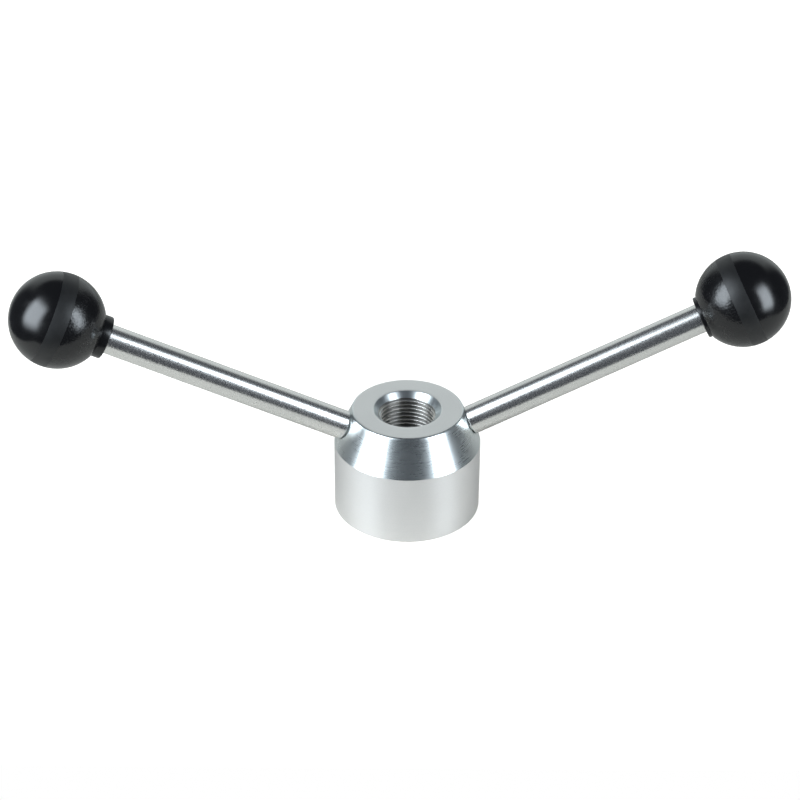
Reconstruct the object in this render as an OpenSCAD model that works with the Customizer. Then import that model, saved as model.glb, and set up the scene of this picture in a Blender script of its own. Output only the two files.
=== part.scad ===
// Two-armed actuating lever for a threaded spindle.
// A turned hub carries two straight rods, whose spigots sit in holes drilled square to its cone.
// A clamping sleeve holds a ball knob on the outer end of each rod.
// The hub stands on z = 0 with its thread along z, and both arms lie in the xz plane.

/* [Hub] */
// Outer diameter of the hub
hub_d = 50; // [46:0.5:60]
// Full height of the hub
hub_h = 38; // [32:0.5:50]
// Width of the cone face, measured up its slope
cone_face = 14.05; // [13:0.05:16]
// Radius of the rounded edge between the cone and the top face
top_round = 0.8; // [0.2:0.1:1]
// Chamfer on the lower outer edge
base_break = 0.4; // [0.2:0.1:1]

/* [Spindle thread] */
// Nominal diameter of the thread that runs through the hub
thread_d = 20; // [16:1:22]
// Pitch of the thread
thread_pitch = 1.5; // [1:0.25:2.5]
// Diameter of the countersink at each end of the thread
countersink_d = 23.3; // [22.5:0.1:26]
// Radius of the rounded edge between the upper countersink and the top face
mouth_round = 0.5; // [0.1:0.1:1]

/* [Arms] */
// Rise of the arms above the horizontal, which is also how far the cone leans in
arm_angle = 25.75; // [20:0.25:32]
// Distance of a rod seat above the middle of the cone face, measured up its slope
seat_shift = 0.8; // [0:0.1:1]
// Diameter of a rod
rod_d = 10; // [9:0.5:11]
// Length of a rod from its shoulder on the cone to its outer end
rod_len = 105.7; // [80:0.1:160]
// Edge break on the shoulder of a rod
shoulder_break = 0.15; // [0.05:0.05:0.4]
// Chamfer on the outer end of a rod
rod_chamfer = 0.8; // [0.3:0.1:1.5]
// Diameter of the spigot that holds a rod in the hub
spigot_d = 8; // [6:0.5:8.5]
// Chamfer on the inner end of a spigot
spigot_chamfer = 0.8; // [0.3:0.1:1.5]
// Metal left between the full depth of a rod seat and the thread
seat_wall = 1.5; // [1:0.1:2.5]
// Free depth left below a spigot in its seat
seat_relief = 0.8; // [0.3:0.1:1.5]
// Point angle of the drill that made the seats
drill_point = 118; // [90:1:140]

/* [Ball knobs] */
// Diameter of a ball knob
knob_d = 32; // [30:0.5:40]
// How much the flat takes off a ball knob
knob_cut = 2; // [1.9:0.1:3.5]
// Depth of a ball knob's bore below the flat
knob_bore = 19; // [16:0.1:22]
// How far the left rod stops short of the bottom of its knob
knob_short_left = 3.4; // [0:0.1:5]
// How far the right rod stops short of the bottom of its knob
knob_short_right = 0; // [0:0.1:5]

/* [Clamping sleeves] */
// Wall of a sleeve's tube
sleeve_wall = 1; // [0.8:0.1:1.6]
// Overhang of a sleeve's flange beyond its tube
flange_rim = 1.2; // [0.6:0.1:1.4]
// Thickness of a sleeve's flange
flange_t = 3.3; // [2.6:0.1:3.6]
// Radius of the rounded edges of a flange
flange_round = 0.4; // [0.1:0.1:0.5]
// Depth of the recess that takes a flange in the knob's flat
recess_depth = 2; // [1.2:0.1:2.4]
// How far the left sleeve stands out of its seat in the knob
sleeve_out_left = 1.85; // [0:0.05:3]
// How far the right sleeve stands out of its seat in the knob
sleeve_out_right = 0; // [0:0.05:3]
// Gap between the end of a seated sleeve and the bottom of the knob's bore
sleeve_end_gap = 0.6; // [0.3:0.1:2]
// Width of the slots that let a sleeve's tube close on the rod
slot_w = 1.2; // [0.6:0.1:2]
// Length of unslotted tube next to the flange
slot_root = 3; // [2:0.5:6]
// Number of slots round a sleeve
slot_count = 3; // [2:1:4]

/* [Fits] */
// Radial clearance of a spigot in its seat
spigot_fit = 0.02; // [0.01:0.01:0.1]
// Radial clearance of a rod in a sleeve
rod_fit = 0.02; // [0.01:0.01:0.1]
// Radial clearance of a sleeve's tube in a knob's bore
tube_fit = 0.02; // [0.01:0.01:0.1]
// Radial clearance of a sleeve's flange in its recess
flange_fit = 0.25; // [0.1:0.05:0.3]

/* [Hidden] */
$fn = 96;
left = -1;
right = 1;
// Overrun of the shapes that cut, and steps in a small rounded edge
cut = 1;
arc_steps = 6;

// Hub: the cone leans in by the arm angle, so a drill square to it follows the arm
hub_r = hub_d / 2;
cone_top_r = hub_r - cone_face * sin(arm_angle);
cone_bottom_z = hub_h - cone_face * cos(arm_angle);
top_tangent = top_round * tan((90 - arm_angle) / 2);

// Thread: the bore has the minor diameter of a metric thread, and its countersinks open at 90 degrees
thread_r = thread_d / 2;
thread_minor_r = thread_r - 5 / 8 * thread_pitch * sqrt(3) / 2;
countersink_r = countersink_d / 2;
countersink_depth = countersink_r - thread_minor_r;
mouth_tangent = mouth_round * tan(45 / 2);

// Arms: stations are distances along an arm from where its axis crosses the thread axis
rod_r = rod_d / 2;
spigot_r = spigot_d / 2;
seat_r = spigot_r + spigot_fit;
seat_up = cone_face / 2 + seat_shift;
shoulder_x = hub_r - seat_up * sin(arm_angle);
shoulder_z = cone_bottom_z + seat_up * cos(arm_angle);
arm_z = shoulder_z - shoulder_x * tan(arm_angle);
shoulder_at = shoulder_x / cos(arm_angle);
seat_at = (thread_r + seat_wall + seat_r * sin(arm_angle)) / cos(arm_angle);
spigot_at = seat_at + seat_relief;
rod_end_at = shoulder_at + rod_len;
point_h = seat_r / tan(drill_point / 2);

// Sleeves and knobs: every radius grows outwards from the rod
sleeve_bore_r = rod_r + rod_fit;
tube_r = sleeve_bore_r + sleeve_wall;
flange_r = tube_r + flange_rim;
flange_edge = min(flange_round, flange_rim, flange_t / 2);
knob_r = knob_d / 2;
knob_bore_r = tube_r + tube_fit;
recess_r = flange_r + flange_fit;
tube_len = knob_bore - recess_depth - sleeve_end_gap;

// Stations of a knob and its sleeve on one arm
function knob_bottom_at(side) = rod_end_at + (side == left ? knob_short_left : knob_short_right);
function knob_flat_at(side) = knob_bottom_at(side) - knob_bore;
function knob_centre_at(side) = knob_flat_at(side) + knob_r - knob_cut;
function sleeve_out(side) = side == left ? sleeve_out_left : sleeve_out_right;
function flange_seat_at(side) = knob_flat_at(side) + recess_depth - sleeve_out(side);

// Points of an arc from one angle to another, for rounded edges of an outline
function arc(centre, radius, from, to) = [
    for (i = [0 : arc_steps])
        let (a = from + (to - from) * i / arc_steps)
            centre + radius * [cos(a), sin(a)]
];

// Children drawn along +z come to lie along one arm
module on_arm(side) {
    rotate([0, 0, side == left ? 180 : 0])
        translate([0, 0, arm_z])
            rotate([0, 90 - arm_angle, 0])
                children();
}

module hub_blank() {
    rotate_extrude()
        polygon(concat(
            [
                [thread_minor_r, countersink_depth],
                [countersink_r, 0],
                [hub_r - base_break, 0],
                [hub_r, base_break],
                [hub_r, cone_bottom_z]
            ],
            arc([cone_top_r - top_tangent, hub_h - top_round], top_round, arm_angle, 90),
            arc([countersink_r + mouth_tangent, hub_h - mouth_round], mouth_round, 90, 135),
            [[thread_minor_r, hub_h - countersink_depth]]
        ));
}

module rod_seat() {
    translate([0, 0, seat_at])
        cylinder(r = seat_r, h = rod_end_at - seat_at);
    translate([0, 0, seat_at - point_h])
        cylinder(r1 = 0, r2 = seat_r, h = point_h);
}

module hub() {
    color("silver")
        difference() {
            hub_blank();
            for (side = [left, right])
                on_arm(side) rod_seat();
        }
}

// A rod with the spigot turned down at its hub end
module arm_rod(side) {
    color("gainsboro")
        on_arm(side)
            rotate_extrude()
                polygon([
                    [0, spigot_at],
                    [spigot_r - spigot_chamfer, spigot_at],
                    [spigot_r, spigot_at + spigot_chamfer],
                    [spigot_r, shoulder_at],
                    [rod_r - shoulder_break, shoulder_at],
                    [rod_r, shoulder_at + shoulder_break],
                    [rod_r, rod_end_at - rod_chamfer],
                    [rod_r - rod_chamfer, rod_end_at],
                    [0, rod_end_at]
                ]);
}

// The flange lies below z = 0 and the tube rises from it, towards the knob
module sleeve_blank() {
    rotate_extrude()
        polygon(concat(
            [[sleeve_bore_r, -flange_t]],
            arc([flange_r - flange_edge, flange_edge - flange_t], flange_edge, -90, 0),
            arc([flange_r - flange_edge, -flange_edge], flange_edge, 0, 90),
            [
                [tube_r, 0],
                [tube_r, tube_len],
                [sleeve_bore_r, tube_len]
            ]
        ));
}

module sleeve_slots() {
    for (i = [0 : slot_count - 1])
        rotate([0, 0, i * 360 / slot_count])
            translate([0, -slot_w / 2, slot_root])
                cube([tube_r + cut, slot_w, tube_len - slot_root + cut]);
}

module clamping_sleeve(side) {
    color("dimgray")
        on_arm(side)
            translate([0, 0, flange_seat_at(side)])
                difference() {
                    sleeve_blank();
                    sleeve_slots();
                }
}

module ball_knob(side) {
    color("black")
        on_arm(side)
            difference() {
                translate([0, 0, knob_centre_at(side)])
                    sphere(r = knob_r);
                translate([0, 0, knob_flat_at(side) - knob_d])
                    cylinder(r = knob_d, h = knob_d);
                translate([0, 0, knob_flat_at(side) - cut])
                    cylinder(r = recess_r, h = recess_depth + cut);
                translate([0, 0, knob_flat_at(side) - cut])
                    cylinder(r = knob_bore_r, h = knob_bore + cut);
            }
}

hub();
arm_rod(left);  // arm_rod_left
arm_rod(right);  // arm_rod_right
clamping_sleeve(left);  // clamping_sleeve_left
clamping_sleeve(right);  // clamping_sleeve_right
ball_knob(left);  // ball_knob_left
ball_knob(right);  // ball_knob_right
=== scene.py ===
"""Visual model of a two-armed actuating lever: a threaded hub, two rods and two ball knobs."""

import math

import bmesh
import bpy
from bpy.props import FloatProperty, FloatVectorProperty, IntProperty, PointerProperty
from bpy.types import Operator, Panel, PropertyGroup
from mathutils import Matrix, Vector


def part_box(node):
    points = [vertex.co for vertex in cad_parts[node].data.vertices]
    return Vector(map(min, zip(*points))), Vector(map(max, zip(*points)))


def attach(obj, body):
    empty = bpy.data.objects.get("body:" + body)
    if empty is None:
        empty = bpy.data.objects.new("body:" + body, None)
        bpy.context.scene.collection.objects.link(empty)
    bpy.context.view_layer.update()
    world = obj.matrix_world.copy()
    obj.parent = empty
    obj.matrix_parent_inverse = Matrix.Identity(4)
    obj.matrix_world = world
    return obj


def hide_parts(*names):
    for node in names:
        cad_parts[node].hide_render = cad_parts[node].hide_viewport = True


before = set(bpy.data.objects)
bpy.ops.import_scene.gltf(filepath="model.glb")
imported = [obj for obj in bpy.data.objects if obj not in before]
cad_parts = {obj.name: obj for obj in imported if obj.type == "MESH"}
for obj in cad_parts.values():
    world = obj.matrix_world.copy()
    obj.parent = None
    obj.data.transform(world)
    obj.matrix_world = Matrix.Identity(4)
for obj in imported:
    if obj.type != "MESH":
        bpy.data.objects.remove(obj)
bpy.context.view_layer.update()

bl_info = {
    "name": "Actuating lever",
    "version": (1, 0, 0),
    "blender": (4, 5, 0),
    "location": "3D View > Sidebar > Lever",
    "description": "Builds a two-armed actuating lever and a small studio round it",
    "category": "Add Mesh",
}

HUB_LOW, HUB_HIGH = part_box("hub")
LEFT = -1
RIGHT = 1
SIDE_NAMES = {LEFT: "left", RIGHT: "right"}
MM = 0.001
MICRON = 0.000001

# Which way a turned face stretches its reflections, as a share of a full turn
UP_THE_AXIS = 0.25
ROUND_THE_AXIS = 0.0

# Finishes of the hub, in the order of its materials
SIDE, CONE, FLANK, COUNTERSINK, FACE, CREST = range(6)

# How near a face lies to the countersink, the crests or the roots to have their finish
NEAR_COUNTERSINK = 0.06 * MM
NEAR_CREST = 0.07 * MM
NEAR_ROOT = 0.05 * MM

# Upright part of the normal on a countersink, and the least on a level face
SLOPED = (0.5, 0.9)
LEVEL = 0.98

# Depth in a countersink at which the hub's shell ends and at which the thread begins
SHELL_END = 0.9 * MM
THREAD_END = 1.25 * MM

# Small edges that only the visual model has, and how far a cut overruns
THREAD_ROUND = 0.08 * MM
KNOB_RIM_ROUND = 0.1 * MM
RECESS_BREAK = 0.05 * MM
OVERRUN = 1.0 * MM

# Angles by which an outline turns at its rounded edges
THREAD_CORNER = math.radians(60)
KNOB_RIM_CORNER = math.radians(60)
MOUTH_CORNER = math.radians(45)

# Turns of thread drawn past each end of the hub, to be cut off
SPARE_TURNS = 2

# Steps of a full turn, and of a ball's outline from its pole to its flat
HUB_STEPS = 192
THREAD_STEPS = 128
SEAT_STEPS = 64
ROD_STEPS = 128
SLEEVE_STEPS = 96
KNOB_STEPS = 144
KNOB_ARC_STEPS = 72

# Rings added across a long face, and segments of a rounded edge
FACE_RINGS = 5
CONE_RINGS = 15
SIDE_RINGS = 7
ROD_RINGS = 11
TUBE_RINGS = 5
FLANK_RINGS = 3
TOP_SEGMENTS = 7
EDGE_SEGMENTS = 5
RIM_SEGMENTS = 3
THREAD_SEGMENTS = 2

# Angle in degrees above which an edge stays crisp, and distance at which points become one
HUB_CREASE = 16
PLAIN_CREASE = 30
MERGE = 1e-7
THREAD_MERGE = 1e-6

# Millimetres over which the painted shade in the thread's roots and the edges of a belt fade
ROOT_SHADE_FADE = 0.3
BELT_FADE = 0.24

# Point above the hub that the softboxes face, and share from a softbox's middle that glows evenly
LIGHT_AIM = Vector((0, 0, 0.06))
EVEN_GLOW = 0.22

# Camera: width of the sensor in millimetres, and the nearest and furthest points it sees
SENSOR_WIDTH = 36.0
CLIP_START = 0.01
CLIP_END = 50.0
WHITE = (1.0, 1.0, 1.0, 1.0)


def length(name, description, default, least=0.0):
    """A length in metres that a user may change."""
    return FloatProperty(
        name=name, description=description, default=default, min=least, precision=5,
        subtype="DISTANCE", unit="LENGTH",
    )


def angle(name, description, degrees):
    """An angle that a user may change, given here in degrees."""
    return FloatProperty(
        name=name, description=description, default=math.radians(degrees),
        subtype="ANGLE", unit="ROTATION",
    )


def share(name, description, default):
    """A number from 0 to 1, such as a roughness."""
    return FloatProperty(
        name=name, description=description, default=default, min=0.0, max=1.0, subtype="FACTOR",
    )


def amount(name, description, default):
    """A plain number with no upper limit, such as a light's power."""
    return FloatProperty(name=name, description=description, default=default, min=0.0)


def colour(name, description, default):
    """A linear colour without alpha."""
    return FloatVectorProperty(
        name=name, description=description, default=default, min=0.0, max=1.0, size=3, subtype="COLOR",
    )


class LeverSizes(PropertyGroup):
    """Sizes of the lever, as in its solids, with balls a hair smaller to stay inside their box."""

    hub_diameter: length("Hub diameter", "Outer diameter of the hub", HUB_HIGH.x - HUB_LOW.x)
    hub_height: length("Hub height", "Full height of the hub", HUB_HIGH.z - HUB_LOW.z)
    cone_face: length("Cone face", "Width of the cone, measured up its slope", 0.01405)
    top_round: length("Top round", "Radius of the edge between cone and top face", 0.0008)
    base_break: length("Base break", "Chamfer on the lower outer edge", 0.0004)
    thread_diameter: length("Thread diameter", "Nominal diameter of the spindle thread", 0.020)
    thread_pitch: length("Thread pitch", "Rise of the spindle thread in one turn", 0.0015)
    thread_start: angle("Thread start", "Turn of the thread about its axis", -50.4)
    countersink: length("Countersink", "Diameter of the countersink at each end of the thread", 0.0233)
    mouth_round: length("Mouth round", "Radius of the edge of the upper countersink", 0.0005)
    arm_angle: angle("Arm angle", "Rise of the arms, and how far the cone leans in", 25.75)
    seat_shift: length("Seat shift", "Rod seat above the middle of the cone face", 0.0008)
    rod_diameter: length("Rod diameter", "Diameter of a rod", 0.010)
    rod_length: length("Rod length", "Rod from its shoulder to its outer end", 0.1057)
    shoulder_break: length("Shoulder break", "Edge break on the shoulder of a rod", 0.00015)
    rod_chamfer: length("Rod chamfer", "Chamfer on the outer end of a rod", 0.0008)
    spigot_diameter: length("Spigot diameter", "Spigot that holds a rod in the hub", 0.008)
    spigot_chamfer: length("Spigot chamfer", "Chamfer on the inner end of a spigot", 0.0008)
    seat_wall: length("Seat wall", "Metal between a rod seat and the thread", 0.0015)
    seat_relief: length("Seat relief", "Free depth below a spigot", 0.0008)
    drill_point: angle("Drill point", "Point angle of the drill that made the seats", 118)
    knob_diameter: length("Knob diameter", "Diameter of a ball knob", 0.031987)
    knob_height: length("Knob height", "Height of a ball knob over its flat", 0.0299935)
    knob_bore: length("Knob bore", "Depth of the bore below the flat", 0.019)
    knob_short_left: length("Left rod gap", "Left rod's end to the bottom of the bore", 0.0034)
    knob_short_right: length("Right rod gap", "Right rod's end to the bottom of the bore", 0.0)
    recess_depth: length("Recess depth", "Recess in the flat that takes the flange", 0.002)
    sleeve_wall: length("Sleeve wall", "Wall of a sleeve's tube", 0.001)
    flange_rim: length("Flange rim", "Overhang of a flange beyond the tube", 0.0012)
    flange_thickness: length("Flange thickness", "Thickness of a sleeve's flange", 0.0033)
    flange_round: length("Flange round", "Radius of a flange's edges", 0.0004)
    sleeve_out_left: length("Left sleeve out", "Left sleeve's distance from its seat", 0.00185)
    sleeve_out_right: length("Right sleeve out", "Right sleeve's distance from its seat", 0.0)
    sleeve_end_gap: length("Sleeve end gap", "Seated sleeve to the bottom of the bore", 0.0006)
    slot_width: length("Slot width", "Width of the slots in a sleeve", 0.0012)
    slot_root: length("Slot root", "Whole tube next to the flange", 0.003)
    slot_count: IntProperty(name="Slots", description="Slots round a sleeve", default=3, min=1, max=6)
    fit: length("Fit", "Clearance between pieces pushed together", 0.00002)
    flange_fit: length("Flange fit", "Clearance of a flange in its recess", 0.00025)


class LeverFinish(PropertyGroup):
    """Colours and gloss of the lever's finishes."""

    steel: colour("Steel", "Turned and plated steel of the hub's side", (0.845, 0.828, 0.809))
    cone: colour("Cone", "Bright steel of the hub's cone and countersinks", (0.785, 0.835, 0.840))
    # Painted light: the top and base get a lighter copy of the steel colour
    painted_light_face_steel: colour("Faced steel, painted lighter", "Steel of the hub's top and base", (0.855, 0.855, 0.842))
    tapped: colour("Tapped steel", "Bare steel of the thread", (0.91, 0.885, 0.845))
    steel_satin: share("Satin roughness", "Roughness of the hub's side", 0.36)
    steel_face: share("Face roughness", "Roughness of the hub's top and base", 0.30)
    steel_cone: share("Cone roughness", "Roughness of the hub's cone", 0.275)
    steel_sunk: share("Countersink roughness", "Roughness of the countersinks", 0.315)
    steel_thread: share("Thread roughness", "Roughness of the flanks of the thread", 0.30)
    steel_crest: share("Crest roughness", "Roughness of the crests of the thread", 0.26)
    satin_metal: share("Satin metal", "Mirror-like share of the satin side", 0.80)
    faced_metal: share("Faced metal", "Mirror-like share of the top and base", 0.92)
    side_stretch: share("Side stretch", "Stretch of reflections up the hub's side", 0.62)
    cone_stretch: share("Cone stretch", "Stretch of reflections up the cone", 0.50)
    sunk_stretch: share("Countersink stretch", "Stretch of reflections down the countersinks", 0.62)
    thread_stretch: share("Thread stretch", "Stretch of reflections down the flanks", 0.70)
    crest_stretch: share("Crest stretch", "Stretch of reflections round the crests", 0.75)
    # Painted shade in the thread's roots: past this depth below the crests the steel is darkened to the
    # tone below
    root_shade_depth: length("Root shade depth", "Depth below the crests past which the thread is painted darker as shade", 0.00008)
    root_shade_tone: share("Root shade tone", "Brightness of the painted shade in the roots of the thread", 0.50)
    zinc: colour("Zinc", "Bright zinc plate on the rods", (0.825, 0.820, 0.800))
    zinc_roughness: share("Zinc roughness", "Roughness of the plated rods", 0.24)
    sleeve: colour("Sleeve", "Black plastic of the sleeves", (0.006, 0.006, 0.0066))
    sleeve_roughness: share("Sleeve roughness", "Roughness of the sleeves", 0.22)
    knob: colour("Knob", "Black of the ball knobs", (0.0045, 0.0045, 0.005))
    belt: colour("Belt", "Grey of the turned belt on a knob", (0.0060, 0.0063, 0.0067))
    knob_cap: share("Cap roughness", "Roughness of the polished outer half", 0.18)
    knob_inner: share("Inner roughness", "Roughness of the half next to the rod", 0.18)
    knob_mottle: share("Inner mottle", "Roughness added in the dull spots of that half", 0.07)
    knob_belt: share("Belt roughness", "Roughness of the turned belt", 0.46)
    belt_width: length("Belt width", "Width of the turned belt", 0.0053)
    belt_shift_left: length("Left belt shift", "Left belt out from its ball's middle", 0.0014, -1.0)
    belt_shift_right: length("Right belt shift", "Right belt out from its ball's middle", -0.0005, -1.0)


class LeverStudio(PropertyGroup):
    """Camera, floor and lights."""

    swing: angle("Swing", "Turn of the camera and lights about the hub", -4.88)
    elevation: angle("Elevation", "Height of the camera above the horizon", 32.18)
    roll: angle("Roll", "Turn of the camera about its line of sight", 0.39)
    distance: length("Distance", "Camera to the point it looks at", 0.8065)
    aim_side: length("Aim to the side", "Sideways shift of the camera's aim", -0.00261, -1.0)
    aim_height: length("Aim height", "Height of the point the camera looks at", 0.041436)
    lens: amount("Lens", "Focal length in millimetres", 107.10)
    sheet_left: length("Sheet left", "Pale sheet to the left of the hub", 0.25)
    sheet_right: length("Sheet right", "Pale sheet to the right of the hub", 0.32)
    sheet_front: length("Sheet front", "Pale sheet in front of the hub", 0.14)
    sheet_back: length("Sheet back", "Pale sheet behind the hub", 0.70)
    floor_colour: colour("Floor", "Pale floor", (0.615, 0.585, 0.535))
    floor_lift: share("Floor lift", "Extra white of the floor as the camera sees it", 0.80)
    box_reach: length("Softbox reach", "Softbox from the hub, along the floor", 0.90)
    box_glow: amount("Softbox glow", "Brightness of a softbox's face", 8.0)
    box_edge: share("Softbox edge", "Brightness of a softbox at its edge", 0.15)
    box_colour: colour("Softbox colour", "Cool white of the softboxes", (0.84, 0.925, 1.0))
    left_turn: angle("Left softbox turn", "Left softbox from the camera's direction", 61)
    left_height: length("Left softbox height", "Middle of the left softbox above the floor", 0.55)
    left_width: length("Left softbox width", "Width of the left softbox", 0.93)
    left_tall: length("Left softbox length", "Upright side of the left softbox", 1.26)
    right_turn: angle("Right softbox turn", "Right softbox from the camera's direction", 58)
    right_height: length("Right softbox height", "Middle of the right softbox above the floor", 0.43)
    right_width: length("Right softbox width", "Width of the right softbox", 0.57)
    right_tall: length("Right softbox length", "Upright side of the right softbox", 1.06)
    front_dark: colour("Front", "Dim room in front and overhead", (0.055, 0.060, 0.070))
    back_light: colour("Back", "Pale room behind the lever", (0.665, 0.715, 0.72))


class LeverShape:
    """What follows from the sizes. Stations count along an arm from the thread axis."""

    def __init__(self, sizes):
        sine = math.sin(sizes.arm_angle)
        cosine = math.cos(sizes.arm_angle)
        self.lean = math.pi / 2 - sizes.arm_angle
        self.hub_height = sizes.hub_height
        self.hub_r = sizes.hub_diameter / 2
        self.cone_top_r = self.hub_r - sizes.cone_face * sine
        self.cone_bottom_z = sizes.hub_height - sizes.cone_face * cosine
        self.thread_r = sizes.thread_diameter / 2
        self.thread_minor_r = self.thread_r - 5 / 8 * sizes.thread_pitch * math.sqrt(3) / 2
        self.countersink_r = sizes.countersink / 2
        self.rod_r = sizes.rod_diameter / 2
        self.spigot_r = sizes.spigot_diameter / 2
        self.seat_r = self.spigot_r + sizes.fit
        seat_up = sizes.cone_face / 2 + sizes.seat_shift
        shoulder_x = self.hub_r - seat_up * sine
        shoulder_z = self.cone_bottom_z + seat_up * cosine
        self.arm_z = shoulder_z - shoulder_x * math.tan(sizes.arm_angle)
        self.shoulder_at = shoulder_x / cosine
        seat_x = self.thread_r + sizes.seat_wall + self.seat_r * sine
        self.seat_at = seat_x / cosine
        self.spigot_at = self.seat_at + sizes.seat_relief
        self.rod_end_at = self.shoulder_at + sizes.rod_length
        self.sleeve_bore_r = self.rod_r + sizes.fit
        self.tube_r = self.sleeve_bore_r + sizes.sleeve_wall
        self.flange_r = self.tube_r + sizes.flange_rim
        self.tube_length = sizes.knob_bore - sizes.recess_depth - sizes.sleeve_end_gap
        self.knob_r = sizes.knob_diameter / 2
        self.knob_bore_r = self.tube_r + sizes.fit
        self.recess_r = self.flange_r + sizes.flange_fit
        self.knob_flat_at = {
            LEFT: self.rod_end_at + sizes.knob_short_left - sizes.knob_bore,
            RIGHT: self.rod_end_at + sizes.knob_short_right - sizes.knob_bore,
        }
        self.flange_seat_at = {
            LEFT: self.knob_flat_at[LEFT] + sizes.recess_depth - sizes.sleeve_out_left,
            RIGHT: self.knob_flat_at[RIGHT] + sizes.recess_depth - sizes.sleeve_out_right,
        }
        self.flat_to_centre = sizes.knob_height - self.knob_r

    def countersink_at(self, height):
        """Radius of a countersink at one height."""
        return self.countersink_r - min(height, self.hub_height - height)


def settings(context):
    """The sizes, what follows from them, and the finishes."""
    sizes = context.scene.lever_sizes
    return sizes, LeverShape(sizes), context.scene.lever_finish


def arm_matrix(shape, side):
    """Puts a piece drawn along +Z onto one arm."""
    half_turn = Matrix.Rotation(math.pi if side == LEFT else 0.0, 4, "Z")
    lift = Matrix.Translation((0, 0, shape.arm_z))
    return half_turn @ lift @ Matrix.Rotation(shape.lean, 4, "Y")


def chain(bm, points):
    """Joins a few points, given as radius and height, by edges, and returns the points."""
    verts = [bm.verts.new((radius, 0, height)) for radius, height in points]
    for first, second in zip(verts, verts[1:]):
        bm.edges.new((first, second))
    return points


def corner_at(bm, point):
    """The vertex at one point of a chain."""
    spot = Vector((point[0], 0, point[1]))
    return min(bm.verts, key=lambda vert: (vert.co - spot).length)


def join(bm, first, second):
    """Joins two points of a chain by an edge."""
    bm.edges.new((corner_at(bm, first), corner_at(bm, second)))


def break_corner(bm, point, offset, segments=1):
    """Breaks one corner of a chain."""
    bmesh.ops.bevel(
        bm, geom=[corner_at(bm, point)], offset=offset, offset_type="OFFSET", segments=segments,
        profile=0.5, affect="VERTICES", material=-1,
    )


def round_corner(bm, point, radius, turn, segments):
    """Rounds one corner of a chain that turns by the given angle."""
    break_corner(bm, point, radius * math.tan(turn / 2), segments)


def divide(bm, first, second, cuts):
    """Adds points along one straight edge of a chain."""
    edge = bm.edges.get((corner_at(bm, first), corner_at(bm, second)))
    bmesh.ops.subdivide_edges(bm, edges=[edge], cuts=cuts)


def sweep(bm, geom, axis, turn, steps, rise=0.0, merge=False):
    """Sweeps points and edges round an axis through the origin."""
    bmesh.ops.spin(
        bm, geom=geom, cent=(0, 0, 0), axis=axis, dvec=(0, 0, rise), angle=turn, steps=steps,
        use_merge=merge, use_normal_flip=False, use_duplicate=False,
    )


def turn_on_lathe(bm, steps):
    """Spins the whole chain once round the Z axis and closes its poles."""
    sweep(bm, bm.verts[:] + bm.edges[:], (0, 0, 1), math.tau, steps, merge=True)
    bmesh.ops.remove_doubles(bm, verts=bm.verts[:], dist=MERGE)
    bmesh.ops.recalc_face_normals(bm, faces=bm.faces[:])


def copied_points(bm, geom):
    """Copies a shape and returns the copy's points."""
    copy = bmesh.ops.duplicate(bm, geom=geom)
    return [part for part in copy["geom"] if isinstance(part, bmesh.types.BMVert)]


def mesh_from(bm, name):
    """Turns a bmesh into a mesh and frees it."""
    mesh = bpy.data.meshes.new(name)
    bm.to_mesh(mesh)
    bm.free()
    return mesh


def add_object(name, data):
    """A new object in the scene, at the origin."""
    thing = bpy.data.objects.new(name, data)
    bpy.context.scene.collection.objects.link(thing)
    return thing


def place(mesh, node, materials, crease=PLAIN_CREASE):
    """Shows a mesh in place of a node of the solids, smooth but for edges above the crease angle."""
    for polygon in mesh.polygons:
        polygon.use_smooth = True
    mesh.set_sharp_from_angle(angle=math.radians(crease))
    for material in materials:
        mesh.materials.append(material)
    mesh.name = f"lever_{node}"
    piece = add_object(f"lever_{node}", mesh)
    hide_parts(node)
    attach(piece, "root")


def cut_away(mesh, cutter):
    """Takes one closed mesh out of another and returns the result without materials."""
    body = add_object("cut_body", mesh)
    tool = add_object("cut_tool", cutter)
    step = body.modifiers.new("Cut", "BOOLEAN")
    step.operation = "DIFFERENCE"
    step.solver = "EXACT"
    step.object = tool
    depsgraph = bpy.context.evaluated_depsgraph_get()
    result = bpy.data.meshes.new_from_object(body.evaluated_get(depsgraph))
    result.materials.clear()
    for spent in (body, tool):
        bpy.data.objects.remove(spent)
    for spent in (mesh, cutter):
        bpy.data.meshes.remove(spent)
    return result


def boundary_at(bm, height):
    """Open edges that lie at one height."""
    return [
        edge for edge in bm.edges
        if edge.is_boundary and all(abs(vert.co.z - height) < THREAD_MERGE for vert in edge.verts)
    ]


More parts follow.
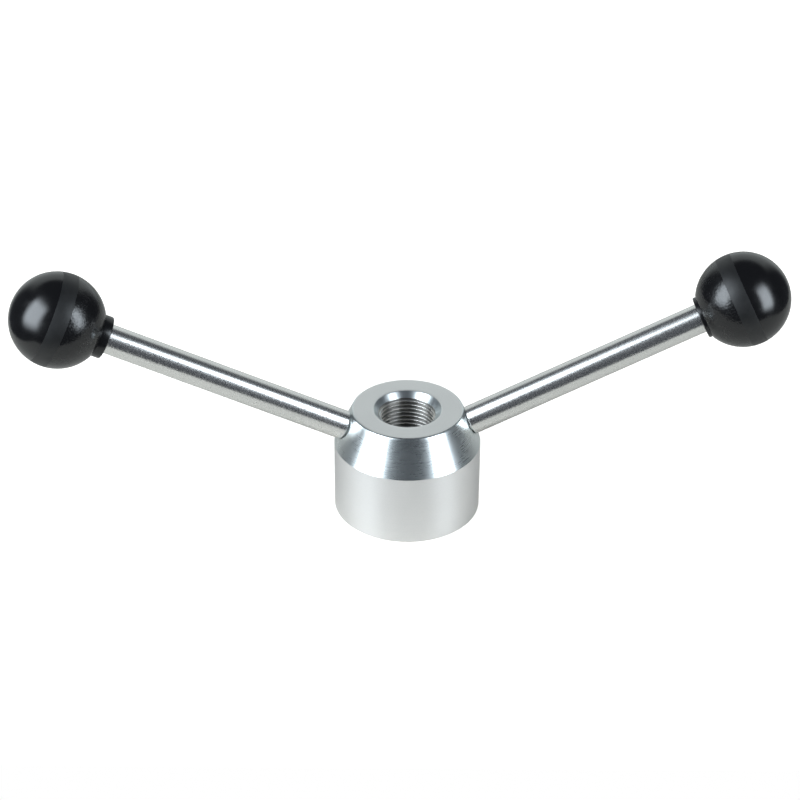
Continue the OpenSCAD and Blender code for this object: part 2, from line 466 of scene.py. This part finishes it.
def thread_mesh(shape, sizes):
    """Right-hand internal thread that runs out into a countersink at each end."""
    pitch = sizes.thread_pitch
    bm = bmesh.new()
    tooth = chain(bm, [
        (shape.thread_minor_r, 0),
        (shape.thread_minor_r, pitch / 8),
        (shape.thread_r, pitch * 7 / 16),
        (shape.thread_r, pitch * 9 / 16),
        (shape.thread_minor_r, pitch * 7 / 8),
        (shape.thread_minor_r, pitch),
    ])
    divide(bm, tooth[1], tooth[2], FLANK_RINGS)
    divide(bm, tooth[3], tooth[4], FLANK_RINGS)
    for corner in tooth[1:5]:
        round_corner(bm, corner, THREAD_ROUND, THREAD_CORNER, THREAD_SEGMENTS)
    one = bm.verts[:] + bm.edges[:]
    bmesh.ops.translate(bm, verts=bm.verts[:], vec=(0, 0, -SPARE_TURNS * pitch))
    turns = math.ceil(shape.hub_height / pitch) + SPARE_TURNS + 1
    for count in range(1, turns):
        bmesh.ops.translate(bm, verts=copied_points(bm, one), vec=(0, 0, count * pitch))
    bmesh.ops.remove_doubles(bm, verts=bm.verts[:], dist=MERGE)
    sweep(bm, bm.verts[:] + bm.edges[:], (0, 0, 1), math.tau, THREAD_STEPS, rise=pitch / THREAD_STEPS)
    bmesh.ops.remove_doubles(bm, verts=bm.verts[:], dist=THREAD_MERGE)
    start = Matrix.Rotation(sizes.thread_start, 3, "Z")
    bmesh.ops.rotate(bm, cent=(0, 0, 0), matrix=start, verts=bm.verts[:])
    for height, upward in ((sizes.hub_height - THREAD_END, 1), (THREAD_END, -1)):
        bmesh.ops.bisect_plane(
            bm, geom=bm.verts[:] + bm.edges[:] + bm.faces[:], dist=MERGE, plane_co=(0, 0, height),
            plane_no=(0, 0, upward), clear_outer=True, clear_inner=False,
        )
    for vert in bm.verts:
        radius = math.hypot(vert.co.x, vert.co.y)
        grow = max(1.0, shape.countersink_at(vert.co.z) / radius)
        vert.co.x *= grow
        vert.co.y *= grow
    return mesh_from(bm, "thread")


def hub_shell(shape, sizes):
    """Outside of the hub, open where the thread goes in."""
    bm = bmesh.new()
    height = sizes.hub_height
    points = chain(bm, [
        (shape.countersink_r - SHELL_END, height - SHELL_END),
        (shape.countersink_r, height),
        (shape.cone_top_r, height),
        (shape.hub_r, shape.cone_bottom_z),
        (shape.hub_r, 0),
        (shape.countersink_r, 0),
        (shape.countersink_r - SHELL_END, SHELL_END),
    ])
    divide(bm, points[1], points[2], FACE_RINGS)
    divide(bm, points[2], points[3], CONE_RINGS)
    divide(bm, points[3], points[4], SIDE_RINGS)
    round_corner(bm, points[1], sizes.mouth_round, MOUTH_CORNER, EDGE_SEGMENTS)
    round_corner(bm, points[2], sizes.top_round, shape.lean, TOP_SEGMENTS)
    break_corner(bm, points[4], sizes.base_break)
    turn_on_lathe(bm, HUB_STEPS)
    return bm


def hub_finish(shape, sizes, polygon):
    """Which finish a face of the hub has."""
    radius = math.hypot(polygon.center.x, polygon.center.y)
    height = polygon.center.z
    steep = abs(polygon.normal.z)
    off_countersink = abs(radius - shape.countersink_at(height))
    if off_countersink < NEAR_COUNTERSINK and SLOPED[0] < steep < SLOPED[1]:
        return COUNTERSINK
    if radius < shape.thread_minor_r + NEAR_CREST:
        return CREST
    if radius < shape.thread_r + NEAR_ROOT:
        return FLANK
    if steep > LEVEL:
        return FACE
    on_cone = height > shape.cone_bottom_z and radius > shape.cone_top_r - sizes.top_round
    return CONE if on_cone else SIDE


def seat_cutter(shape, sizes):
    """The two drilled holes that take the spigots."""
    bm = bmesh.new()
    point = shape.seat_r / math.tan(sizes.drill_point / 2)
    chain(bm, [
        (0, shape.seat_at - point),
        (shape.seat_r, shape.seat_at),
        (shape.seat_r, shape.hub_r * 2),
        (0, shape.hub_r * 2),
    ])
    turn_on_lathe(bm, SEAT_STEPS)
    second = copied_points(bm, bm.verts[:] + bm.edges[:] + bm.faces[:])
    first = [vert for vert in bm.verts if vert not in set(second)]
    bmesh.ops.transform(bm, matrix=arm_matrix(shape, RIGHT), verts=first)
    bmesh.ops.transform(bm, matrix=arm_matrix(shape, LEFT), verts=second)
    bmesh.ops.recalc_face_normals(bm, faces=bm.faces[:])
    return mesh_from(bm, "seats")


def slot_cutter(shape, sizes):
    """The blocks that slot a sleeve's tube from its open end."""
    bm = bmesh.new()
    reach = shape.tube_r + OVERRUN
    height = shape.tube_length - sizes.slot_root + OVERRUN
    for count in range(sizes.slot_count):
        block = bmesh.ops.create_cube(bm, size=1.0)
        spot = Matrix.Translation((reach / 2, 0, sizes.slot_root + height / 2))
        size = Matrix.Diagonal((reach, sizes.slot_width, height, 1))
        spin = Matrix.Rotation(math.tau * count / sizes.slot_count, 4, "Z")
        bmesh.ops.transform(bm, matrix=spin @ spot @ size, verts=block["verts"])
    return mesh_from(bm, "slots")


class NodeBench:
    """Adds nodes to one tree and joins them."""

    def __init__(self, tree):
        self.tree = tree

    def add(self, kind, label, **values):
        """A node with a plain label and its settings."""
        node = self.tree.nodes.new(kind)
        node.label = label
        for name, value in values.items():
            setattr(node, name, value)
        return node

    def feed(self, socket, value):
        """Joins another node's output to a socket, or sets the socket."""
        if isinstance(value, bpy.types.NodeSocket):
            self.tree.links.new(value, socket)
        else:
            socket.default_value = value

    def fill(self, node, values):
        """Joins or sets several inputs of a node, and returns its outputs."""
        for label, value in values.items():
            self.feed(node.inputs[label], value)
        return node.outputs

    def reckon(self, operation, first, second=0.0, label=""):
        """A sum of two numbers or outputs."""
        node = self.add("ShaderNodeMath", label, operation=operation)
        return self.fill(node, {0: first, 1: second})[0]

    def times(self, first, second, label=""):
        """The product of two numbers or outputs."""
        return self.reckon("MULTIPLY", first, second, label)

    def weigh(self, first, first_share, second, second_share, label=""):
        """Two outputs added up by their shares."""
        one = self.times(first, first_share)
        return self.reckon("ADD", one, self.times(second, second_share), label)

    def spread(self, value, low, high, to_low, to_high, label="", smooth=False):
        """Maps one range onto another and keeps within it."""
        node = self.add("ShaderNodeMapRange", label, clamp=True)
        node.interpolation_type = "SMOOTHSTEP" if smooth else "LINEAR"
        ends = {"Value": value, "From Min": low, "From Max": high, "To Min": to_low, "To Max": to_high}
        return self.fill(node, ends)["Result"]

    def noise(self, vector, scale, detail, roughness, label=""):
        """Soft noise on a vector."""
        node = self.add("ShaderNodeTexNoise", label)
        values = {"Vector": vector, "Scale": scale, "Detail": detail, "Roughness": roughness}
        return self.fill(node, values)["Fac"]

    def blend(self, share_of_second, first, second, label=""):
        """Mixes two colours."""
        node = self.add("ShaderNodeMix", label, data_type="RGBA", blend_type="MIX")
        return self.fill(node, {0: share_of_second, 6: first, 7: second})[2]

    def split(self, vector, label="Split"):
        """The three parts of a vector."""
        return self.fill(self.add("ShaderNodeSeparateXYZ", label), {0: vector})

    def bump(self, height, distance):
        """Fine relief on the surface."""
        node = self.add("ShaderNodeBump", "Fine relief")
        return self.fill(node, {"Strength": 1.0, "Distance": distance, "Height": height})["Normal"]

    def millimetres(self, location=(0, 0, 0), turn=0.0):
        """Coordinates of the piece in millimetres, moved and turned onto its own axis."""
        source = self.add("ShaderNodeTexCoord", "Object coordinates")
        node = self.add("ShaderNodeMapping", "On the piece", vector_type="TEXTURE")
        values = {"Location": location, "Rotation": (0, turn, 0), "Scale": (MM, MM, MM)}
        return self.fill(node, {"Vector": source.outputs["Object"], **values})["Vector"]


def empty_bench(owner):
    """A bench on the emptied node tree of a material, a light or the world."""
    owner.use_nodes = True
    owner.node_tree.nodes.clear()
    return NodeBench(owner.node_tree)


def fill_turning_lines(bench, given, result):
    """Rings that a turning tool leaves round the Z axis, and the distance from that axis."""
    parts = bench.split(given["Vector"])
    squared = bench.weigh(parts["X"], parts["X"], parts["Y"], parts["Y"])
    radius = bench.reckon("SQRT", squared, label="Radius")
    drift = bench.noise(given["Vector"], 0.12, 2.0, 0.5, "Slow drift")
    waver = bench.times(drift, given["Waver"])
    ring = bench.add("ShaderNodeCombineXYZ", "Radius and height")
    on_ring = bench.fill(ring, {"X": radius, "Y": waver, "Z": parts["Z"]})[0]
    scale = bench.reckon("DIVIDE", 1.0, given["Spacing"], "Lines per millimetre")
    bench.feed(result["Lines"], bench.noise(on_ring, scale, 3.0, 0.6, "Fine rings"))
    bench.feed(result["Radius"], radius)


def fill_speckle(bench, given, result):
    """Fine grains with a sharp edge, and the same noise left soft."""
    scale = bench.reckon("DIVIDE", 1.0, given["Size"], "Grains per millimetre")
    soft = bench.noise(given["Vector"], scale, 3.0, 0.55, "Grain")
    edge = bench.reckon("SUBTRACT", 0.72, bench.times(given["Cover"], 0.3))
    upper = bench.reckon("ADD", edge, 0.08)
    bench.feed(result["Grains"], bench.spread(soft, edge, upper, 0.0, 1.0, "Sharp grains"))
    bench.feed(result["Soft"], soft)


def fill_handling(bench, given, result):
    """Faint smudges and dry patches from handling and storage."""
    scale = bench.reckon("DIVIDE", 1.0, given["Size"], "Smudges per millimetre")
    broad = bench.noise(given["Vector"], scale, 4.0, 0.6, "Smudge")
    bench.feed(result["Smudge"], bench.spread(broad, 0.35, 0.7, 0.0, 1.0, "Faint", True))


# Shared node groups: inputs besides a vector in millimetres, outputs, and what fills them
GROUPS = {
    "Turning lines": (("Spacing", "Waver"), ("Lines", "Radius"), fill_turning_lines),
    "Speckle": (("Size", "Cover"), ("Grains", "Soft"), fill_speckle),
    "Handling": (("Size",), ("Smudge",), fill_handling),
}


def make_group(name):
    """Builds one of the shared node groups."""
    inputs, outputs, fill = GROUPS[name]
    tree = bpy.data.node_groups.new(name, "ShaderNodeTree")
    tree.interface.new_socket("Vector", in_out="INPUT", socket_type="NodeSocketVector")
    for label in inputs:
        tree.interface.new_socket(label, in_out="INPUT", socket_type="NodeSocketFloat")
    for label in outputs:
        tree.interface.new_socket(label, in_out="OUTPUT", socket_type="NodeSocketFloat")
    bench = NodeBench(tree)
    source = bench.add("NodeGroupInput", "Inputs")
    target = bench.add("NodeGroupOutput", "Outputs")
    fill(bench, source.outputs, target.inputs)
    return tree


def place_group(bench, name, **values):
    """The outputs of a shared node group in one material, with its own values."""
    tree = bpy.data.node_groups.get(name)
    if tree is None:
        tree = make_group(name)
    return bench.fill(bench.add("ShaderNodeGroup", name, node_tree=tree), values)


def start_material(name):
    """A material with only its shader and output."""
    material = bpy.data.materials.new(name)
    bench = empty_bench(material)
    shader = bench.add("ShaderNodeBsdfPrincipled", "Surface")
    output = bench.add("ShaderNodeOutputMaterial", "Output")
    bench.feed(output.inputs["Surface"], shader.outputs["BSDF"])
    return material, bench, shader


def dress(bench, shader, base, rough, relief, microns):
    """Gives a surface its colour, its roughness and a fine relief."""
    normal = bench.bump(relief, microns * MICRON)
    bench.fill(shader, {"Base Color": base, "Roughness": rough, "Normal": normal})


def rgba(colour_value, scale=1.0):
    """A colour with alpha, made lighter or darker."""
    return (*[min(1.0, part * scale) for part in colour_value], 1.0)


def turned_steel(
    name, steel, roughness, stretch, spacing, microns, metal=1.0, lay=UP_THE_AXIS, root_shade=None,
):
    """Turned steel with rings round the thread axis, faint smudges and grains, and painted shade that
    darkens it past a radius, deep in the thread's roots.
    """
    material, bench, shader = start_material(name)
    vector = bench.millimetres()
    lines = place_group(bench, "Turning lines", Vector=vector, Spacing=spacing, Waver=1.5)
    smudge = place_group(bench, "Handling", Vector=vector, Size=14.0)
    grain = place_group(bench, "Speckle", Vector=vector, Size=0.5, Cover=0.2)
    tone = bench.weigh(lines["Lines"], 0.4, grain["Soft"], 0.6)
    base = bench.blend(tone, rgba(steel, 0.95), rgba(steel, 1.05), "Steel")
    # Painted shade: past a radius, deep in the thread's roots, the steel's colour is darkened to a set
    # tone
    if root_shade is not None:
        root_shade_from, root_shade_tone = root_shade
        root_shade_mask = bench.spread(lines["Radius"], root_shade_from, root_shade_from + ROOT_SHADE_FADE, 0.0, 1.0, "Painted root shade", True)
        base = bench.blend(root_shade_mask, base, rgba(steel, root_shade_tone), "Steel with painted root shade")
    rough = bench.spread(lines["Lines"], 0.25, 0.75, roughness * 0.9, roughness * 1.1)
    dull = bench.times(smudge["Smudge"], 0.03)
    relief = bench.weigh(lines["Lines"], 0.8, grain["Soft"], 0.2, "Turning marks")
    dress(bench, shader, base, bench.reckon("ADD", rough, dull, "Roughness"), relief, microns)
    bench.fill(shader, {"Metallic": metal, "Anisotropic": stretch, "Anisotropic Rotation": lay})
    return material


def hub_materials(shape, finish):
    """The hub's materials, in the order of its finishes."""
    # Painted shade for the thread's roots: where it starts, in millimetres from the axis, and how dark
    root_shade = ((shape.thread_minor_r + finish.root_shade_depth) / MM, finish.root_shade_tone)
    return (
        turned_steel(
            "Satin steel", finish.steel, finish.steel_satin, finish.side_stretch, 0.35, 0.8,
            metal=finish.satin_metal,
        ),
        turned_steel("Bright cone", finish.cone, finish.steel_cone, finish.cone_stretch, 0.28, 0.3),
        turned_steel(
            "Tapped thread", finish.tapped, finish.steel_thread, finish.thread_stretch, 0.5, 0.6,
            root_shade=root_shade,
        ),
        turned_steel("Countersink", finish.cone, finish.steel_sunk, finish.sunk_stretch, 0.3, 0.3),
        # Top and base: a faced finish with its own roughness, in a copy of the steel colour painted
        # lighter
        turned_steel(
            "Faced steel, painted lighter", finish.painted_light_face_steel, finish.steel_face, 0.0, 0.3, 0.5,
            metal=finish.faced_metal,
        ),
        turned_steel(
            "Thread crest", finish.tapped, finish.steel_crest, finish.crest_stretch, 0.5, 0.6,
            lay=ROUND_THE_AXIS,
        ),
    )


def zinc_plate(name, finish, turn, location):
    """Bright zinc plate with a fine mottle on a drawn rod."""
    material, bench, shader = start_material(name)
    vector = bench.millimetres(location, turn)
    grain = place_group(bench, "Speckle", Vector=vector, Size=0.42, Cover=0.6)
    smudge = place_group(bench, "Handling", Vector=vector, Size=9.0)
    tone = bench.weigh(smudge["Smudge"], 0.35, grain["Grains"], 0.65, "Tone")
    base = bench.blend(tone, rgba(finish.zinc, 1.04), rgba(finish.zinc, 0.93), "Zinc")
    plain = finish.zinc_roughness
    rough = bench.spread(grain["Soft"], 0.35, 0.65, plain * 0.85, plain * 1.25)
    dress(bench, shader, base, rough, grain["Soft"], microns=5.5)
    shader.inputs["Metallic"].default_value = 1.0
    return material


def sleeve_plastic(name, finish):
    """Moulded black plastic with a fine spark finish."""
    material, bench, shader = start_material(name)
    vector = bench.millimetres()
    grain = place_group(bench, "Speckle", Vector=vector, Size=0.25, Cover=0.4)
    smudge = place_group(bench, "Handling", Vector=vector, Size=5.0)
    base = bench.blend(smudge["Smudge"], rgba(finish.sleeve), rgba(finish.sleeve, 1.5), "Plastic")
    plain = finish.sleeve_roughness
    rough = bench.spread(grain["Soft"], 0.3, 0.7, plain * 0.85, plain * 1.15)
    dress(bench, shader, base, rough, grain["Soft"], microns=10)
    return material


def black_thermoset(name, finish, turn, location, belt_shift):
    """Black thermoset ball: polished cap, matt turned belt, and a dimpled half next to the rod."""
    material, bench, shader = start_material(name)
    vector = bench.millimetres(location, turn)
    grain = place_group(bench, "Speckle", Vector=vector, Size=0.40, Cover=0.45)
    lines = place_group(bench, "Turning lines", Vector=vector, Spacing=0.3, Waver=0.6)
    smudge = place_group(bench, "Handling", Vector=vector, Size=6.0)
    waver = bench.times(bench.reckon("SUBTRACT", grain["Soft"], 0.5), 0.5)
    along = bench.reckon("ADD", bench.split(vector, "Along the arm")["Z"], waver, "Ragged edge")
    low = (belt_shift - finish.belt_width / 2) / MM
    high = (belt_shift + finish.belt_width / 2) / MM
    half = BELT_FADE / 2
    above_low = bench.spread(along, low - half, low + half, 0.0, 1.0, "Past the inner edge", True)
    above_high = bench.spread(along, high - half, high + half, 0.0, 1.0, "Past the outer edge", True)
    belt = bench.reckon("SUBTRACT", above_low, above_high, "Belt")
    inner = bench.reckon("SUBTRACT", 1.0, above_low, "Inner half")
    ringed = bench.spread(lines["Lines"], 0.3, 0.7, 0.8, 1.2)
    belt_tone = bench.times(belt, ringed, "Belt tone")
    base = bench.blend(belt_tone, rgba(finish.knob), rgba(finish.belt), "Black")
    cap = finish.knob_cap
    cap_rough = bench.spread(smudge["Smudge"], 0.0, 1.0, cap * 0.8, cap * 1.3)
    dimples = bench.noise(vector, 1.7, 0.0, 0.5, "Dimples of the mould")
    mottled = bench.spread(dimples, 0.42, 0.62, 0.0, finish.knob_mottle, "Mottled gloss")
    inner_rough = bench.reckon("ADD", mottled, finish.knob_inner - cap)
    gain = bench.weigh(inner, inner_rough, belt, finish.knob_belt - cap)
    rough = bench.reckon("ADD", cap_rough, gain, "Roughness")
    inner_relief = bench.times(inner, 5.0)
    mould_relief = bench.weigh(dimples, inner_relief, grain["Soft"], 0.12)
    line_relief = bench.times(lines["Lines"], belt)
    relief = bench.reckon("ADD", mould_relief, line_relief, "Relief")
    dress(bench, shader, base, rough, relief, microns=7)
    shader.inputs["IOR"].default_value = 1.55
    return material


def plain_matt(name, tone, lift):
    """Plain matt paper for the floor, exposed to white for the camera."""
    material, bench, shader = start_material(name)
    smudge = place_group(bench, "Handling", Vector=bench.millimetres(), Size=220.0)
    base = bench.blend(smudge["Smudge"], rgba(tone), rgba(tone, 0.992), "Paper")
    path = bench.add("ShaderNodeLightPath", "Ray")
    seen = bench.times(path.outputs["Is Camera Ray"], lift, "White to the camera")
    bench.fill(shader, {"Base Color": base, "Roughness": 0.95, "Specular IOR Level": 0.0})
    bench.fill(shader, {"Emission Color": WHITE, "Emission Strength": seen})
    return material


class LEVER_OT_hub(Operator):
    """Turned hub with its cone, spindle thread and rod seats"""

    bl_idname = "lever.hub"
    bl_label = "Hub"

    def execute(self, context):
        sizes, shape, finish = settings(context)
        top = sizes.hub_height
        bm = hub_shell(shape, sizes)
        thread = thread_mesh(shape, sizes)
        bm.from_mesh(thread)
        bpy.data.meshes.remove(thread)
        for shell_end, thread_end in ((top - SHELL_END, top - THREAD_END), (SHELL_END, THREAD_END)):
            rims = boundary_at(bm, shell_end) + boundary_at(bm, thread_end)
            bmesh.ops.bridge_loops(bm, edges=rims)
        bmesh.ops.recalc_face_normals(bm, faces=bm.faces[:])
        open_edges = sum(not edge.is_manifold for edge in bm.edges)
        if open_edges:
            raise RuntimeError(f"the hub has {open_edges} open edges")
        mesh = cut_away(mesh_from(bm, "hub"), seat_cutter(shape, sizes))
        place(mesh, "hub", hub_materials(shape, finish), HUB_CREASE)
        for polygon in mesh.polygons:
            polygon.material_index = hub_finish(shape, sizes, polygon)
        return {"FINISHED"}


class LEVER_OT_arm_rods(Operator):
    """Plated rods with a spigot at the hub and a chamfer in the knob"""

    bl_idname = "lever.arm_rods"
    bl_label = "Arm rods"

    def execute(self, context):
        sizes, shape, finish = settings(context)
        for side, side_name in SIDE_NAMES.items():
            bm = bmesh.new()
            points = chain(bm, [
                (0, shape.spigot_at),
                (shape.spigot_r, shape.spigot_at),
                (shape.spigot_r, shape.shoulder_at),
                (shape.rod_r, shape.shoulder_at),
                (shape.rod_r, shape.rod_end_at),
                (0, shape.rod_end_at),
            ])
            divide(bm, points[3], points[4], ROD_RINGS)
            break_corner(bm, points[1], sizes.spigot_chamfer)
            break_corner(bm, points[3], sizes.shoulder_break)
            break_corner(bm, points[4], sizes.rod_chamfer)
            turn_on_lathe(bm, ROD_STEPS)
            bmesh.ops.transform(bm, matrix=arm_matrix(shape, side), verts=bm.verts[:])
            zinc = zinc_plate(f"Zinc plate {side_name}", finish, side * shape.lean, (0, 0, shape.arm_z))
            place(mesh_from(bm, "rod"), f"arm_rod_{side_name}", [zinc])
        return {"FINISHED"}


class LEVER_OT_clamping_sleeves(Operator):
    """Slotted plastic sleeves with a flange, pushed between rod and knob"""

    bl_idname = "lever.clamping_sleeves"
    bl_label = "Clamping sleeves"

    def execute(self, context):
        sizes, shape, finish = settings(context)
        plastic = sleeve_plastic("Sleeve plastic", finish)
        for side, side_name in SIDE_NAMES.items():
            bm = bmesh.new()
            points = chain(bm, [
                (shape.sleeve_bore_r, -sizes.flange_thickness),
                (shape.flange_r, -sizes.flange_thickness),
                (shape.flange_r, 0),
                (shape.tube_r, 0),
                (shape.tube_r, shape.tube_length),
                (shape.sleeve_bore_r, shape.tube_length),
            ])
            join(bm, points[5], points[0])
            divide(bm, points[3], points[4], TUBE_RINGS)
            divide(bm, points[5], points[0], TUBE_RINGS)
            round_corner(bm, points[1], sizes.flange_round, math.pi / 2, EDGE_SEGMENTS)
            round_corner(bm, points[2], sizes.flange_round, math.pi / 2, EDGE_SEGMENTS)
            turn_on_lathe(bm, SLEEVE_STEPS)
            mesh = cut_away(mesh_from(bm, "sleeve"), slot_cutter(shape, sizes))
            seat = Matrix.Translation((0, 0, shape.flange_seat_at[side]))
            mesh.transform(arm_matrix(shape, side) @ seat)
            place(mesh, f"clamping_sleeve_{side_name}", [plastic])
        return {"FINISHED"}


class LEVER_OT_ball_knobs(Operator):
    """Black ball knobs with a flat, a recess for the flange and a blind bore"""

    bl_idname = "lever.ball_knobs"
    bl_label = "Ball knobs"

    def execute(self, context):
        sizes, shape, finish = settings(context)
        belt_shifts = {LEFT: finish.belt_shift_left, RIGHT: finish.belt_shift_right}
        flat = -shape.flat_to_centre
        rim_turn = math.acos(flat / shape.knob_r)
        rim = (shape.knob_r * math.sin(rim_turn), flat)
        for side, side_name in SIDE_NAMES.items():
            bm = bmesh.new()
            pole = bm.verts.new((0, 0, shape.knob_r))
            sweep(bm, [pole], (0, 1, 0), rim_turn, KNOB_ARC_STEPS)
            points = chain(bm, [
                (shape.recess_r, flat),
                (shape.recess_r, flat + sizes.recess_depth),
                (shape.knob_bore_r, flat + sizes.recess_depth),
                (shape.knob_bore_r, flat + sizes.knob_bore),
                (0, flat + sizes.knob_bore),
            ])
            join(bm, rim, points[0])
            break_corner(bm, points[0], RECESS_BREAK)
            round_corner(bm, rim, KNOB_RIM_ROUND, KNOB_RIM_CORNER, RIM_SEGMENTS)
            turn_on_lathe(bm, KNOB_STEPS)
            centre = Matrix.Translation((0, 0, shape.knob_flat_at[side] + shape.flat_to_centre))
            seat = arm_matrix(shape, side) @ centre
            bmesh.ops.transform(bm, matrix=seat, verts=bm.verts[:])
            name = f"Black thermoset {side_name}"
            black = black_thermoset(name, finish, side * shape.lean, seat.translation, belt_shifts[side])
            place(mesh_from(bm, "knob"), f"ball_knob_{side_name}", [black])
        return {"FINISHED"}


def make_floor(studio):
    """A pale sheet under the lever and behind it."""
    bm = bmesh.new()
    bmesh.ops.create_grid(bm, x_segments=1, y_segments=1, size=0.5)
    wide = studio.sheet_left + studio.sheet_right
    deep = studio.sheet_front + studio.sheet_back
    across = (studio.sheet_right - studio.sheet_left) / 2
    along = (studio.sheet_back - studio.sheet_front) / 2
    spot = Matrix.Rotation(studio.swing, 4, "Z") @ Matrix.Translation((across, along, 0))
    bmesh.ops.transform(bm, matrix=spot @ Matrix.Diagonal((wide, deep, 1, 1)), verts=bm.verts[:])
    mesh = mesh_from(bm, "studio_floor")
    mesh.materials.append(plain_matt("Floor paper", studio.floor_colour, studio.floor_lift))
    floor = add_object("studio_floor", mesh)


def make_softbox(studio, side, turn, height, width, tall):
    """A soft light on one side that the camera doesn't see."""
    name = f"studio_softbox_{SIDE_NAMES[side]}"
    light = bpy.data.lights.new(name, "AREA")
    light.shape = "RECTANGLE"
    light.size = width
    light.size_y = tall
    light.energy = studio.box_glow * math.pi * width * tall
    light.color = studio.box_colour
    bench = empty_bench(light)
    face = bench.add("ShaderNodeNewGeometry", "Face of the softbox")
    parts = bench.split(face.outputs["Parametric"])
    falls = []
    for axis in ("X", "Y"):
        off = bench.reckon("ABSOLUTE", bench.reckon("SUBTRACT", parts[axis], 0.5))
        falls.append(bench.spread(off, EVEN_GLOW, 0.5, 1.0, studio.box_edge, "Fall to the edge", True))
    emission = bench.add("ShaderNodeEmission", "Glow")
    bench.feed(emission.inputs["Strength"], bench.times(falls[0], falls[1]))
    output = bench.add("ShaderNodeOutputLight", "Output")
    bench.feed(output.inputs["Surface"], emission.outputs[0])
    lamp = add_object(name, light)
    lamp.location = Matrix.Rotation(studio.swing, 4, "Z") @ Vector((
        side * studio.box_reach * math.sin(turn),
        -studio.box_reach * math.cos(turn),
        height,
    ))
    lamp.rotation_mode = "QUATERNION"
    lamp.rotation_quaternion = (LIGHT_AIM - lamp.location).to_track_quat("-Z", "Y")
    lamp.visible_camera = False


def make_surround(studio):
    """A dim room in front and overhead, pale behind, and plain white to the camera."""
    world = bpy.data.worlds.new("Studio surround")
    bench = empty_bench(world)
    direction = bench.add("ShaderNodeTexCoord", "Direction")
    turned = bench.add("ShaderNodeMapping", "Face the camera", vector_type="TEXTURE")
    values = {"Vector": direction.outputs["Generated"], "Rotation": (0, 0, studio.swing)}
    parts = bench.split(bench.fill(turned, values)["Vector"])
    behind = bench.spread(parts["Y"], 0.05, 0.35, 0.0, 1.0, "Behind", True)
    beside = bench.reckon("ABSOLUTE", parts["X"])
    narrow = bench.spread(beside, 0.45, 0.75, 1.0, 0.0, "Width of the backdrop", True)
    below = bench.spread(parts["Z"], 0.56, 0.74, 1.0, 0.0, "Below the ceiling", True)
    pale = bench.times(bench.times(behind, narrow), below, "Pale part")
    room = bench.add("ShaderNodeBackground", "Room")
    bench.feed(room.inputs["Color"], bench.blend(pale, rgba(studio.front_dark), rgba(studio.back_light)))
    plain = bench.add("ShaderNodeBackground", "Plain to the camera")
    plain.inputs["Color"].default_value = WHITE
    path = bench.add("ShaderNodeLightPath", "Ray")
    mix = bench.add("ShaderNodeMixShader", "Camera or room")
    bench.fill(mix, {0: path.outputs["Is Camera Ray"], 1: room.outputs[0], 2: plain.outputs[0]})
    output = bench.add("ShaderNodeOutputWorld", "Output")
    bench.feed(output.inputs["Surface"], mix.outputs[0])
    bpy.context.scene.world = world


def make_camera(studio):
    """The camera at the photograph's viewing angle."""
    data = bpy.data.cameras.new("studio_camera")
    data.sensor_fit = "HORIZONTAL"
    data.sensor_width = SENSOR_WIDTH
    data.lens = studio.lens
    data.clip_start = CLIP_START
    data.clip_end = CLIP_END
    camera = add_object("studio_camera", data)
    back = Vector((0, -math.cos(studio.elevation), math.sin(studio.elevation)))
    aim = Vector((studio.aim_side, 0, studio.aim_height))
    swing = Matrix.Rotation(studio.swing, 4, "Z")
    stand = Matrix.Translation(aim + back * studio.distance)
    tilt = Matrix.Rotation(math.pi / 2 - studio.elevation, 4, "X")
    roll = Matrix.Rotation(studio.roll, 4, "Z")
    camera.matrix_world = swing @ stand @ tilt @ roll
    bpy.context.scene.camera = camera


class LEVER_OT_stage(Operator):
    """Pale floor, two softboxes, the room round them and the camera"""

    bl_idname = "lever.stage"
    bl_label = "Studio"

    def execute(self, context):
        studio = context.scene.lever_studio
        make_floor(studio)
        make_softbox(
            studio, LEFT, studio.left_turn, studio.left_height, studio.left_width, studio.left_tall,
        )
        make_softbox(
            studio, RIGHT, studio.right_turn, studio.right_height, studio.right_width, studio.right_tall,
        )
        make_surround(studio)
        make_camera(studio)
        context.scene.view_settings.view_transform = "Standard"
        return {"FINISHED"}


class VIEW3D_PT_lever(Panel):
    """Lists the steps that build the lever"""

    bl_label = "Actuating lever"
    bl_space_type = "VIEW_3D"
    bl_region_type = "UI"
    bl_category = "Lever"

    def draw(self, context):
        layout = self.layout
        for operator in BUILD_STEPS:
            layout.operator(operator.bl_idname)
        for group in (context.scene.lever_sizes, context.scene.lever_finish, context.scene.lever_studio):
            box = layout.box()
            for name in group.__annotations__:
                box.prop(group, name)


BUILD_STEPS = (
    LEVER_OT_hub,
    LEVER_OT_arm_rods,
    LEVER_OT_clamping_sleeves,
    LEVER_OT_ball_knobs,
    LEVER_OT_stage,
)
CLASSES = (LeverSizes, LeverFinish, LeverStudio, *BUILD_STEPS, VIEW3D_PT_lever)


def register():
    """Adds the classes and the scene's settings."""
    for cls in CLASSES:
        bpy.utils.register_class(cls)
    bpy.types.Scene.lever_sizes = PointerProperty(type=LeverSizes)
    bpy.types.Scene.lever_finish = PointerProperty(type=LeverFinish)
    bpy.types.Scene.lever_studio = PointerProperty(type=LeverStudio)


def unregister():
    """Takes away what register added."""
    del bpy.types.Scene.lever_studio
    del bpy.types.Scene.lever_finish
    del bpy.types.Scene.lever_sizes
    for cls in reversed(CLASSES):
        bpy.utils.unregister_class(cls)


def main():
    """Builds the lever and its studio in order."""
    register()
    bpy.ops.lever.hub()
    bpy.ops.lever.arm_rods()
    bpy.ops.lever.clamping_sleeves()
    bpy.ops.lever.ball_knobs()
    bpy.ops.lever.stage()


if __name__ == "__main__":
    main()
